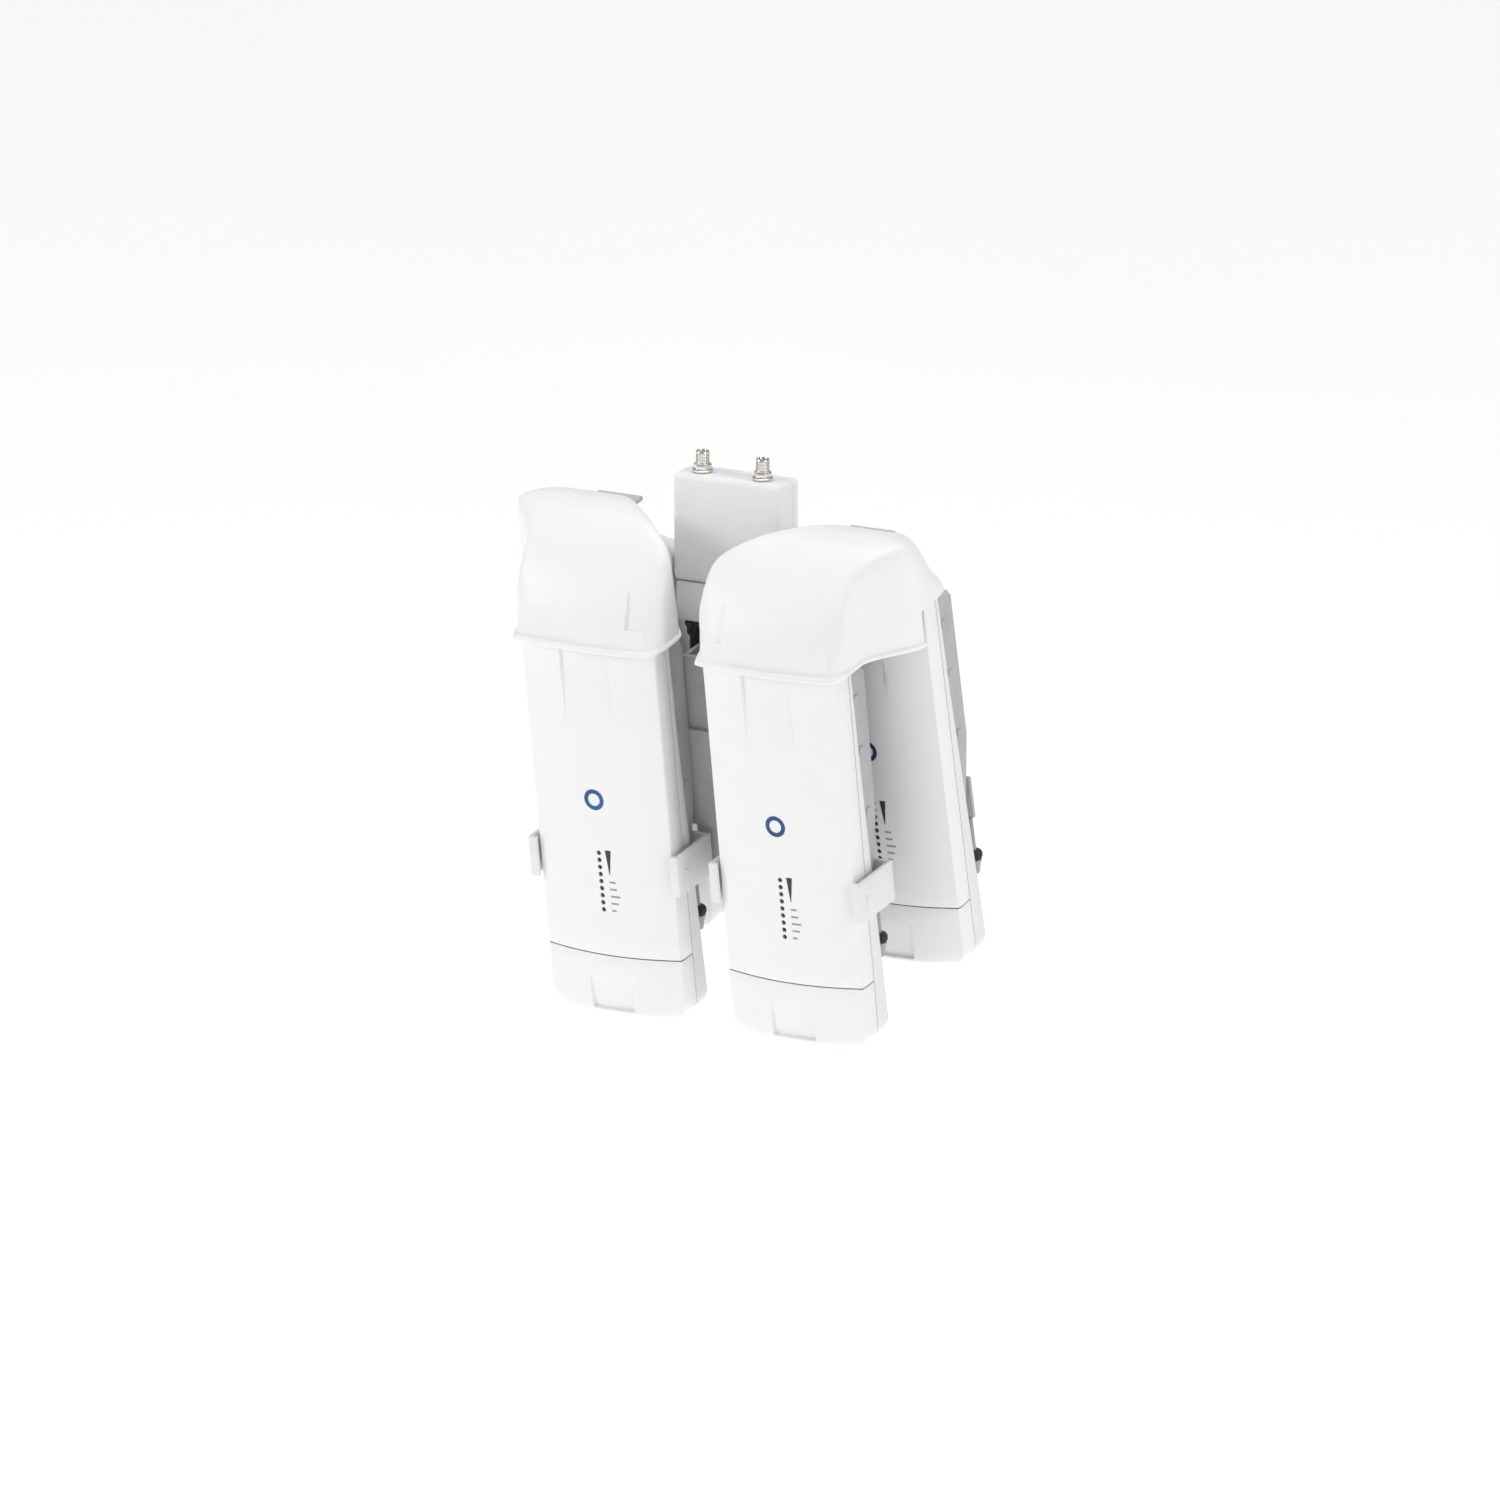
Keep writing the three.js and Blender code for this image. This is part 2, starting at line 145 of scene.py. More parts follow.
def surface(name, low, high, roughness, grain=900.0, bump=0.12, metallic=0.0, spread=60.0, coat=0.0):
    """A moulded or plated finish: tint and roughness drift slowly, over a fine grain."""
    material = bpy.data.materials.new(name)
    material.use_nodes = True
    nodes = material.node_tree.nodes
    links = material.node_tree.links
    shader = nodes["Principled BSDF"]
    shader.inputs["Metallic"].default_value = metallic
    shader.inputs["Coat Weight"].default_value = coat
    where = nodes.new("ShaderNodeTexCoord")
    drift = nodes.new("ShaderNodeTexNoise")
    drift.inputs["Scale"].default_value = spread
    drift.inputs["Detail"].default_value = 3
    ramp = nodes.new("ShaderNodeValToRGB")
    ramp.color_ramp.elements[0].position = 0.3
    ramp.color_ramp.elements[0].color = (*low, 1)
    ramp.color_ramp.elements[1].position = 0.7
    ramp.color_ramp.elements[1].color = (*high, 1)
    rough = nodes.new("ShaderNodeMapRange")
    rough.inputs["To Min"].default_value = roughness - 0.05
    rough.inputs["To Max"].default_value = roughness + 0.06
    fine = nodes.new("ShaderNodeTexNoise")
    fine.inputs["Scale"].default_value = grain
    fine.inputs["Detail"].default_value = 2
    height = nodes.new("ShaderNodeBump")
    height.inputs["Strength"].default_value = bump
    height.inputs["Distance"].default_value = 0.0001
    links.new(where.outputs["Object"], drift.inputs["Vector"])
    links.new(where.outputs["Object"], fine.inputs["Vector"])
    links.new(drift.outputs["Fac"], ramp.inputs["Fac"])
    links.new(ramp.outputs["Color"], shader.inputs["Base Color"])
    links.new(drift.outputs["Fac"], rough.inputs["Value"])
    links.new(rough.outputs["Result"], shader.inputs["Roughness"])
    links.new(fine.outputs["Fac"], height.inputs["Height"])
    links.new(height.outputs["Normal"], shader.inputs["Normal"])
    return material


WHITE = surface("white_shell", (0.85, 0.852, 0.856), (0.865, 0.867, 0.87), 0.42, bump=0.06)
OFF_WHITE = surface("rear_shell", (0.78, 0.783, 0.787), (0.81, 0.813, 0.817), 0.5)
BOX = surface("box_shell", (0.81, 0.815, 0.82), (0.84, 0.845, 0.85), 0.42)
GREY = surface("bracket", (0.42, 0.423, 0.428), (0.48, 0.483, 0.488), 0.55, grain=700, bump=0.25)
WING = surface("cradle", (0.76, 0.765, 0.77), (0.8, 0.805, 0.81), 0.5, grain=700, bump=0.2)
DARK = surface("dark_plastic", (0.012, 0.012, 0.013), (0.022, 0.022, 0.024), 0.5, bump=0.2)
# The near-black strip under the seams is painted shade: it stands in for the shadow inside the seam gaps.
SEAM_SHADE_BLACK = surface("painted_seam_shade", (0.035, 0.035, 0.037), (0.05, 0.05, 0.052), 0.7, bump=0.1)
TAB_GREY = surface("hood_tab", (0.46, 0.463, 0.468), (0.52, 0.523, 0.528), 0.55, grain=700, bump=0.2)
KNOB_GREY = surface("knob", (0.32, 0.322, 0.326), (0.4, 0.402, 0.406), 0.4)
LENS = surface("indicator_lens", (0.006, 0.006, 0.007), (0.012, 0.012, 0.013), 0.2, bump=0.02)
NICKEL = surface("nickel", (0.72, 0.7, 0.66), (0.8, 0.78, 0.74), 0.2, grain=1500, bump=0.05, metallic=1.0)
BOARD = surface("board", (0.02, 0.11, 0.04), (0.03, 0.15, 0.06), 0.4, grain=500, coat=0.3)
INK = surface("dark_print", (0.02, 0.022, 0.03), (0.03, 0.032, 0.04), 0.5, bump=0.02)
BLUE_INK = surface("blue_print", (0.0, 0.1, 0.3), (0.004, 0.02, 0.05), 0.4, bump=0.02, spread=45)
PALE_INK = surface("grey_print", (0.3, 0.3, 0.31), (0.36, 0.36, 0.37), 0.5, bump=0.02)


# ---- Mesh helpers ----

def local(x, y, z, pitch):
    """The matrix from a pitched group's own millimetres to the shared frame in metres."""
    place = Matrix.Translation((Vector((x, y, z)) + ORIGIN) * MM)
    return place @ Matrix.Rotation(pitch, 4, "X")


UPRIGHT = local(0, 0, 0, 0)


def shaded(mesh, angle=35):
    """Smooth shading, with sharp edges where faces meet at more than the angle."""
    for polygon in mesh.polygons:
        polygon.use_smooth = True
    mesh.set_sharp_from_angle(angle=math.radians(angle))


def mesh_of(bm, name, angle=35):
    """A mesh in metres from a bmesh in millimetres."""
    mesh = bpy.data.meshes.new(name)
    bmesh.ops.scale(bm, vec=(MM, MM, MM), verts=bm.verts)
    bm.to_mesh(mesh)
    bm.free()
    shaded(mesh, angle)
    return mesh


def show(name, mesh, matrix, body, material, replaced=()):
    """Adds a piece that moves with a body. It stands for the replaced CAD nodes, or is additional."""
    placed = mesh.copy()
    placed.transform(matrix)
    placed.materials.clear()
    placed.materials.append(material)
    piece = bpy.data.objects.new(name, placed)
    bpy.context.scene.collection.objects.link(piece)
    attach(piece, body)
    if replaced:
        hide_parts(*replaced)
    return piece


def worked(mesh, *modifiers, angle=35):
    """The mesh after modifiers, each given as (kind, settings)."""
    carrier = bpy.data.objects.new("carrier", mesh)
    bpy.context.scene.collection.objects.link(carrier)
    for kind, settings in modifiers:
        modifier = carrier.modifiers.new(kind.lower(), kind)
        for key, value in settings.items():
            setattr(modifier, key, value)
    bpy.context.view_layer.update()
    made = carrier.evaluated_get(bpy.context.evaluated_depsgraph_get())
    result = bpy.data.meshes.new_from_object(made)
    result.name = mesh.name
    bpy.data.objects.remove(carrier)
    shaded(result, angle)
    return result


def thick(wall):
    return ("SOLIDIFY", {"thickness": wall * MM, "offset": -1, "use_even_offset": False})


def carved(mesh, tool, name, *after, angle=35):
    """The mesh with a bmesh of closed shapes cut out of it, then any further modifiers."""
    cutter = bpy.data.objects.new(name, mesh_of(tool, name))
    bpy.context.scene.collection.objects.link(cutter)
    cut = ("BOOLEAN", {"object": cutter, "operation": "DIFFERENCE", "solver": "EXACT"})
    result = worked(mesh, cut, *after, angle=angle)
    bpy.data.objects.remove(cutter)
    return result


def in_millimetres(mesh):
    mesh.transform(Matrix.Scale(1 / MM, 4))
    return mesh


def reopened(mesh):
    """A bmesh in millimetres from a mesh in metres."""
    bm = bmesh.new()
    bm.from_mesh(mesh)
    bmesh.ops.scale(bm, vec=(1 / MM,) * 3, verts=bm.verts)
    return bm


def bevel(width, segments=2, angle=40):
    return ("BEVEL", {"width": width * MM, "segments": segments, "limit_method": "ANGLE",
                      "angle_limit": math.radians(angle), "harden_normals": False})


def loft(bm, rings, closed=True):
    """Joins rings of points with quads and returns the rows of vertices."""
    rows = [[bm.verts.new(p) for p in ring] for ring in rings]
    count = len(rows[0])
    steps = count if closed else count - 1
    for low, high in zip(rows, rows[1:]):
        for i in range(steps):
            j = (i + 1) % count
            bm.faces.new((low[i], low[j], high[j], high[i]))
    return rows


def prism(bm, outline, axis, start, end):
    """Adds a closed bar from start to end along axis. Its outline is given in the other two axes."""
    turn = {
        "x": lambda u, v, w: (w, u, v),
        "y": lambda u, v, w: (u, w, v),
        "z": lambda u, v, w: (u, v, w),
    }[axis]
    near = [bm.verts.new(turn(u, v, start)) for u, v in outline]
    far = [bm.verts.new(turn(u, v, end)) for u, v in outline]
    count = len(outline)
    faces = [bm.faces.new(near), bm.faces.new(far)]
    for i in range(count):
        j = (i + 1) % count
        faces.append(bm.faces.new((near[i], near[j], far[j], far[i])))
    bmesh.ops.recalc_face_normals(bm, faces=faces)


def slab(bm, x0, x1, y0, y1, z0, z1):
    prism(bm, [(x0, y0), (x1, y0), (x1, y1), (x0, y1)], "z", z0, z1)


def rounded(x0, x1, y0, y1, r, steps=5):
    """A rectangle's outline with round corners."""
    points = []
    corners = ((x1 - r, y0 + r, -90), (x1 - r, y1 - r, 0), (x0 + r, y1 - r, 90), (x0 + r, y0 + r, 180))
    for cx, cy, first in corners:
        for i in range(steps + 1):
            t = math.radians(first + 90 * i / steps)
            points.append((cx + r * math.cos(t), cy + r * math.sin(t)))
    return points


def circle(u, v, radius, count):
    turns = [2 * math.pi * k / count for k in range(count)]
    return [(u + radius * math.cos(t), v + radius * math.sin(t)) for t in turns]


def capped(rings):
    """A closed bmesh through rings, with its first and last ring filled."""
    bm = bmesh.new()
    rows = loft(bm, rings)
    bm.faces.new(rows[0])
    bm.faces.new(rows[-1])
    bmesh.ops.recalc_face_normals(bm, faces=bm.faces)
    return bm


def turned(profile, segments=40, flutes=None):
    """A closed lathe body about the upright axis. flutes is (low, high, count, depth) of a grip."""
    rings = []
    for radius, height in profile:
        ring = []
        for i in range(segments):
            t = 2 * math.pi * i / segments
            r = radius
            if flutes and flutes[0] <= height <= flutes[1]:
                r -= flutes[3] * (0.5 - 0.5 * math.cos(flutes[2] * t))
            ring.append((r * math.cos(t), r * math.sin(t), height))
        rings.append(ring)
    return capped(rings)


def smooth(t):
    """0 to 1 as t goes from 0 to 1, level at both ends."""
    t = min(1, max(0, t))
    return t * t * (3 - 2 * t)


# ---- Radio shells ----

def back_at(c):
    """The back's b at height c: the radio grows deeper towards its lower end."""
    return BACK_TOP + (BACK_BOTTOM - BACK_TOP) * (RADIO_TOP - c) / (RADIO_TOP - RADIO_BOTTOM)


PANEL_HALF = 14.8
PANEL_END = -64
PANEL_DEPTH = 1.5
PANEL_STEP = 0.6
THUMB = (-14, 13, -190, -211)
THUMB_DEPTH = 1.9
THUMB_STEP = 0.5


def relief(a, c):
    """How far the face is sunk below its plain curve by the fading centre panel and the thumb recess."""
    fade = smooth(1 - c / PANEL_END) if c > PANEL_END else 0
    inside = smooth((PANEL_HALF + 0.3 - abs(a)) / PANEL_STEP)
    panel = PANEL_DEPTH * fade * inside
    left, right, start, end = THUMB
    across = smooth((a - left) / THUMB_STEP) * smooth((right - a) / THUMB_STEP)
    along = (start - c) / (start - end) if end <= c <= start else 0
    return THUMB_DEPTH * across * max(0, along) ** 0.8 + panel


def face_b(a, c):
    """The bowed face's b, with its panel and thumb recess."""
    return FACE_CENTRE + (FACE_EDGE - FACE_CENTRE) * (a / FACE_HALF) ** 2 + relief(a, c)


def across_samples():
    """Places across the face: evenly spaced, and close on both sides of each step of the relief."""
    marks = [-PANEL_HALF - 0.35, -PANEL_HALF + 0.35, PANEL_HALF - 0.35, PANEL_HALF + 0.35]
    marks += [THUMB[0] - 0.05, THUMB[0] + 0.55, THUMB[1] - 0.55, THUMB[1] + 0.05]
    regular = [FACE_HALF * i / 14 for i in range(-14, 15)]
    kept = [a for a in regular if all(abs(a - m) > 0.6 for m in marks)]
    return sorted(kept + marks)


FACE_SAMPLES = across_samples()
BACK_ROUND = 5
FLANK_IN = 0.3


def section(c, side_in, front_in, back_in):
    """The radio's closed outline at height c, its sides, face and back drawn in by the given amounts."""
    shrink = (RADIO_HALF - side_in) / RADIO_HALF
    half = RADIO_HALF * shrink
    points = [(a * shrink, face_b(a, c) + front_in, c) for a in FACE_SAMPLES]
    edge = FACE_EDGE + front_in
    back = back_at(c) - back_in
    flank = [(half - 0.45, edge + 0.5), (half - 0.25, edge + 2), (half, edge + 5)]
    r = min(BACK_ROUND, (back - SEAM_B) * 0.6)
    flank += [(half - FLANK_IN, back - r)]
    for i in range(1, 5):
        t = math.radians(90 * i / 4)
        flank.append((half - FLANK_IN - r * (1 - math.cos(t)), back - r + r * math.sin(t)))
    points += [(a, b, c) for a, b in flank]
    points += [((half - FLANK_IN - r) * (1 - i / 4), back, c) for i in range(1, 8)]
    points += [(-a, b, c) for a, b in reversed(flank)]
    return points


BOTTOM_ROLL = 2.2
TOP_SIDE_IN = 3
TOP_FRONT_IN = 8
TOP_BACK_IN = 4


def radio_body():
    """The whole closed radio, from which its radome, cable door, rear case and gasket are cut."""
    rings = []
    steps = 7
    for i in range(steps + 1):
        t = math.radians(90 * i / steps)
        rise = CORNER * (1 - math.cos(t))
        draw = CORNER * (1 - math.sin(t))
        edge = BOTTOM_ROLL * max(0, 1 - rise / BOTTOM_ROLL) ** 2
        rings.append(section(RADIO_BOTTOM + rise, draw, edge, edge * 1.6))
    heights = [-211.2, -210.8, -200, -196, -192, -190, -187, -170, -158, -140, -120, -100, -84]
    heights += [PANEL_END - PANEL_END * i / 12 for i in range(13)]
    rings += [section(c, 0, 0, 0) for c in heights if c > RADIO_BOTTOM + CORNER + 0.3]
    for c in heights:
        if c <= RADIO_BOTTOM + CORNER:
            t = math.acos(1 - (c - RADIO_BOTTOM) / CORNER)
            rings.append(section(c, CORNER * (1 - math.sin(t)), 0, 0))
    rings.sort(key=lambda ring: ring[0][2])
    for i in range(1, 6):
        t = math.radians(90 * i / 5)
        closing = 1 - math.cos(t)
        rings.append(section(RADIO_TOP * math.sin(t), TOP_SIDE_IN * closing, TOP_FRONT_IN * closing,
                             TOP_BACK_IN * closing))
    return capped(rings)


SEAM_EDGE = bevel(0.5, 2, 65)
SEAM_GAP = 0.7
# Depth, half width and thickness of the painted seam shade strip.
SEAM_SHADE_DEPTH = 0.55
SEAM_SHADE_HALF = 1.1
SEAM_SHADE_THICK = 0.8


def keep(bm, point, outward):
    """Cuts away what lies on the outward side of a plane."""
    everything = bm.verts[:] + bm.edges[:] + bm.faces[:]
    bmesh.ops.bisect_plane(bm, geom=everything, dist=1e-4, plane_co=point, plane_no=outward,
                           clear_outer=True)


def radome_mesh():
    """The front shell above the cable door, with its indicator holes."""
    bm = radio_body()
    keep(bm, (0, SEAM_B - SEAM_GAP / 2, 0), (0, 1, 0))
    keep(bm, (0, 0, DOOR_SEAM + SEAM_GAP / 2), (0, 0, -1))
    shell = worked(mesh_of(bm, "radome"), thick(WALL), SEAM_EDGE)
    tool = bmesh.new()
    for i in range(LED_COUNT):
        prism(tool, circle(LED_A, LED_TOP - i * LED_PITCH, LED_RADIUS, 24), "y", *LED_BORE)
    return carved(shell, tool, "holes")


def door_mesh():
    bm = radio_body()
    keep(bm, (0, SEAM_B - SEAM_GAP / 2, 0), (0, 1, 0))
    keep(bm, (0, 0, DOOR_SEAM - SEAM_GAP / 2), (0, 0, 1))
    return worked(mesh_of(bm, "cable_door"), thick(WALL), SEAM_EDGE)


def rear_case_mesh():
    """The back shell, with a mounting rail and four ribs across it."""
    bm = radio_body()
    keep(bm, (0, SEAM_B + SEAM_GAP / 2, 0), (0, -1, 0))
    case = reopened(worked(mesh_of(bm, "rear_case"), thick(WALL), SEAM_EDGE))
    rail = bmesh.new()
    slab(rail, -28, 28, BACK_TOP, BRACKET_BACK - SHEET - 0.5, -60, -25)
    for c in (-72, -96, -120, -144):
        slab(rail, -24, 24, back_at(c) - 1, back_at(c) + 0.9, c - 1.2, c + 1.2)
    case.from_mesh(in_millimetres(worked(mesh_of(rail, "rail"), bevel(0.6))))
    return mesh_of(case, "rear_case")


def seam_shade_band(name, *cuts):
    """A strip of the radio's surface between cuts, sunk a little and given thickness: painted shade for a
    seam.
    """
    bm = radio_body()
    for vert in bm.verts:
        vert.co -= vert.normal * SEAM_SHADE_DEPTH
    for point, outward in cuts:
        keep(bm, point, outward)
    return in_millimetres(worked(mesh_of(bm, name), thick(SEAM_SHADE_THICK)))


def seam_shade_mesh():
    """A near-black strip just under the surface: painted shade, seen as a dark line in the side seams and
    over the cable door.
    """
    seam_front = (0, SEAM_B - SEAM_SHADE_HALF, 0)
    seam_back = (0, SEAM_B + SEAM_SHADE_HALF, 0)
    door_low = (0, 0, DOOR_SEAM - SEAM_SHADE_HALF)
    door_high = (0, 0, DOOR_SEAM + SEAM_SHADE_HALF)
    joined = bmesh.new()
    joined.from_mesh(seam_shade_band("around", (seam_front, (0, -1, 0)), (seam_back, (0, 1, 0))))
    joined.from_mesh(seam_shade_band("over_door", (door_low, (0, 0, -1)), (door_high, (0, 0, 1)),
                                 (seam_front, (0, 1, 0))))
    return mesh_of(joined, "seam_shade_strip")


# ---- Marks on the radome ----

MARK_LIFT = 0.12
EMBLEM_AT = (-1, -88)
EMBLEM_INNER = 3.6
EMBLEM_OUTER = 6.0


def on_face(a, c):
    return (a, face_b(a, c) - MARK_LIFT, c)


def bar_mark(bm, corners, steps=6):
    """A patch of face between four corners, given as (a, c) from the top left clockwise."""
    (a0, c0), (a1, c1), (a2, c2), (a3, c3) = corners
    rows = []
    for i in range(steps + 1):
        v = i / steps
        left = (a0 + (a3 - a0) * v, c0 + (c3 - c0) * v)
        right = (a1 + (a2 - a1) * v, c1 + (c2 - c1) * v)
        rows.append([on_face(left[0] + (right[0] - left[0]) * u, left[1] + (right[1] - left[1]) * u)
                     for u in (0, 0.5, 1)])
    loft(bm, rows, closed=False)


def emblem_mesh():
    """A plain ring."""
    bm = bmesh.new()
    radii = (EMBLEM_INNER, (EMBLEM_INNER + EMBLEM_OUTER) / 2, EMBLEM_OUTER)
    loft(bm, [[on_face(a, c) for a, c in circle(*EMBLEM_AT, r, 36)] for r in radii])
    return mesh_of(bm, "emblem")


def signal_mark_mesh():
    """A thin wedge beside the upper holes."""
    bm = bmesh.new()
    bar_mark(bm, [(3, -117), (6.5, -117), (4.9, -131), (4.6, -131)])
    return mesh_of(bm, "signal_mark")


def tick_marks_mesh():
    """A plain bar beside each of the lower holes."""
    bm = bmesh.new()
    left = 4.2
    for i, width in zip(range(4, LED_COUNT), (3.6, 4.0, 5.6, 4.4, 2.6)):
        c = LED_TOP - i * LED_PITCH
        right = left + width
        bar_mark(bm, [(left, c + 0.5), (right, c + 0.5), (right, c - 0.5), (left, c - 0.5)], 2)
    return mesh_of(bm, "tick_marks")


# ---- Bracket, cradle, thumb screw and jack ----

def bracket_mesh():
    """A folded bracket: two cheeks, a web, cross ribs, uprights and small bosses on the cheeks."""
    bm = bmesh.new()
    cheek = [(back_at(-130) + 0.6, -130), (BRACKET_BACK, -90), (BRACKET_BACK, -8),
             (BRACKET_BACK - 3, -5), (back_at(-5) + 0.6, -5)]
    for a in (-BRACKET_HALF, BRACKET_HALF - BRACKET_CHEEK):
        prism(bm, cheek, "x", a, a + BRACKET_CHEEK)
    inside = BRACKET_HALF - 1
    slab(bm, -inside, inside, BRACKET_BACK - SHEET, BRACKET_BACK, -92, -8)
    slab(bm, -inside, inside, back_at(-6) + 1, BRACKET_BACK - 1, -7.5, -5)
    slab(bm, -inside, inside, back_at(-52) + 1.5, BRACKET_BACK - 1, -54, -52)
    for a in (-33, 31):
        slab(bm, a, a + 2, back_at(-30) + 2, BRACKET_BACK - 1, -52, -6)
    for a in (-BRACKET_HALF - 0.8, BRACKET_HALF - 0.2):
        for c in (-20, -50, -86):
            slab(bm, a, a + 1, back_at(c) + 2, back_at(c) + 6, c - 2, c + 2)
    return worked(mesh_of(bm, "bracket"), bevel(0.5, 3))


def cradle_mesh():
    """The clip behind a front radio: a back plate whose two wings wrap the radio's sides and grip
    the edges of its face."""
    bm = bmesh.new()
    outer = WING_A + SHEET
    back = CRADLE_BACK + SHEET
    hook = WING_FRONT + SHEET
    half = [(WING_GRIP, hook), (WING_GRIP, WING_FRONT), (outer, WING_FRONT), (outer, back)]
    plan = [(-WING_A, CRADLE_BACK), (-WING_A, hook)] + [(-a, b) for a, b in half]
    plan += list(reversed(half)) + [(WING_A, hook), (WING_A, CRADLE_BACK)]
    prism(bm, plan, "z", CRADLE_BOTTOM + 0.5, CRADLE_TOP - 0.5)
    for sign in (-1, 1):
        mark0, mark1 = sorted((sign * (outer - 0.2), sign * (outer + 0.7)))
        prism(bm, [(6, -131), (11, -128), (6, -125)], "x", mark0, mark1)
    return worked(mesh_of(bm, "cradle"), bevel(0.6, 3))


def cradle_plate_mesh():
    """The plate behind a rear radio, with a stiffening ridge."""
    bm = bmesh.new()
    back = CRADLE_BACK + SHEET
    slab(bm, -BRACKET_HALF, BRACKET_HALF, CRADLE_BACK, back, CRADLE_BOTTOM, CRADLE_TOP)
    slab(bm, -BRACKET_HALF + 6, BRACKET_HALF - 6, back - 0.5, back + 1.2, -129, -127)
    return worked(mesh_of(bm, "cradle_plate"), bevel(0.6, 3))


def thumb_screw_mesh():
    """The threaded shank and the smooth tapered end."""
    profile = [(0.4, -34), (1.6, -33.7), (2.2, -33), (2.5, -31), (3.0, -28.4), (3.7, -26.4),
               (3.9, -25.6), (3.9, -25.2), (1.5, -24.8)]
    crest, groove, length, turns = 1.55, 0.18, 23.5, 40
    profile += [(crest - groove * (i % 2), -24 + length * i / turns) for i in range(turns + 1)]
    return mesh_of(turned(profile, 48), "thumb_screw", 50)


def thumb_cap_mesh():
    """The fluted grip round the shank."""
    profile = [(1.8, -24.6), (3.9, -24.6), (4.4, -24.2), (4.5, -23.6), (4.5, -21.4), (4.2, -20.8),
               (3.2, -20), (1.8, -19.8)]
    return mesh_of(turned(profile, 96, (-24.3, -20.5, 12, 0.8)), "thumb_cap", 50)


def jack_mesh():
    """A coax jack: washer, hex nut, threaded barrel and a bored end with its centre contact."""
    profile = [(0.5, 0.1), (5.4, 0.1), (5.6, 0.4), (5.6, 1.1), (5.2, 1.4), (4.2, 1.4), (4.2, 4.6),
               (3.5, 4.8)]
    turns, pitch = 7, 0.8
    for i in range(turns):
        low = 5 + i * pitch
        profile += [(3.35, low), (3.7, low + 0.25), (3.7, low + 0.5)]
    profile += [(3.6, 11.0), (3.3, JACK_HEIGHT), (2.5, JACK_HEIGHT), (2.4, 11.1), (2.4, 8.0), (0.8, 8.0),
                (0.8, 10.4), (0.3, 10.8)]
    bm = turned(profile, 36)
    nut = bmesh.new()
    corners = [math.radians(60 * k + 15) for k in range(6)]
    prism(nut, [(NUT_RADIUS * math.cos(t), NUT_RADIUS * math.sin(t)) for t in corners], "z", 1.3, 4.3)
    bm.from_mesh(in_millimetres(worked(mesh_of(nut, "nut"), bevel(0.4, 2))))
    return mesh_of(bm, "jack", 40)


# ---- Hoods ----

SWAY_START = 22
OUTER_SWAY = 34
INNER_SWAY = 31


def hood_outer(b):
    """The outer wall's a: the hood sways outwards from the front radio to the rear one."""
    sway = smooth((b - SWAY_START) / OUTER_SWAY)
    return HOOD_HALF + (HOOD_SHIFT + HOOD_REAR_HALF - HOOD_HALF) * sway


def hood_inner(b):
    """The inner wall's a."""
    sway = smooth((b - SWAY_START) / INNER_SWAY)
    return -HOOD_HALF + (HOOD_SHIFT - HOOD_REAR_HALF + HOOD_HALF) * sway


# Two planes cut the hood's rear corners, each as (a, b, c factors, distance). Below CUT_FOOT a plane
# leans outwards by the lean for each millimetre.
INNER_CUT = (-0.61, 0.66, 0.44, 68.6)
OUTER_CUT = (0.768, 0.512, 0.385, 98.8)
BLEND = 1.7
FRONT_BOW = 4 / HOOD_HALF ** 2
SIDE_START = 8
SIDE_END = 76
RIDGE_START = 36
RIDGE_END = 60
INNER_LEAN = 2.4
OUTER_LEAN = 0.6
BEAD_MIDDLE = 1.4
BEAD_HALF = 1.45
BEAD_OUT = 1.5
DRAW_IN = 1.1
DRAW_TOP = 9.5
LIP_TOP = 14
POCKET_LOW = 12.7
POCKET_HIGH = 34
POCKET_EDGE = -26
TAB_HALF = 14
TAB_Z = (47.2, 49.4)


def bezier(start, one, two, end, steps=7):
    """Points along a curve, without its start."""
    points = []
    for i in range(1, steps + 1):
        t = i / steps
        u = 1 - t
        weights = (u * u * u, 3 * u * u * t, 3 * u * t * t, t * t * t)
        ends = (start, one, two, end)
        points.append(tuple(sum(w * p[k] for w, p in zip(weights, ends)) for k in (0, 1)))
    return points


def hood_profile():
    """The hood's outline from the side, as (b, c) from its front lip over the roof to the heel."""
    front = (-3.2, 12)
    shoulder = (39, HOOD_SHOULDER)
    crest = (56, HOOD_ROOF)
    heel = (HOOD_BACK, HOOD_HEEL)
    line = [(-7, 0), front]
    line += bezier(front, (3, 33), (20, 49), shoulder)
    line += bezier(shoulder, (44, HOOD_SHOULDER + 2.7), (50, HOOD_ROOF), crest)
    line += bezier(crest, (66, HOOD_ROOF - 1.6), (HOOD_BACK - 6, HOOD_HEEL + 12), heel)
    return line


def hood_crown():
    """The hood's outline from the front, as (a, c) from its inner side over the roof to its outer side."""
    left = -HOOD_HALF
    right = HOOD_SHIFT + HOOD_REAR_HALF
    top = HOOD_ROOF + 1
    line = [(left, 42)]
    line += bezier((left, 42), (left + 0.5, 54), (left + 10, 60), (left + 26, top))
    line += [(right - 3, top + 1.5), (right, top - 3)]
    return line


def wedges(line):
    """Each step of an outline as (start u, start v, normal u, normal v), the normal pointing out."""
    rows = []
    for start, end in zip(line, line[1:]):
        du, dv = end[0] - start[0], end[1] - start[1]
        size = math.hypot(du, dv)
        rows.append((start[0], start[1], -dv / size, du / size))
    return rows


PROFILE = wedges(hood_profile())
CROWN = wedges(hood_crown())


def beyond(rows, u, v):
    """How far a point lies outside a bulging outline."""
    return max((u - su) * nu + (v - sv) * nv for su, sv, nu, nv in rows)


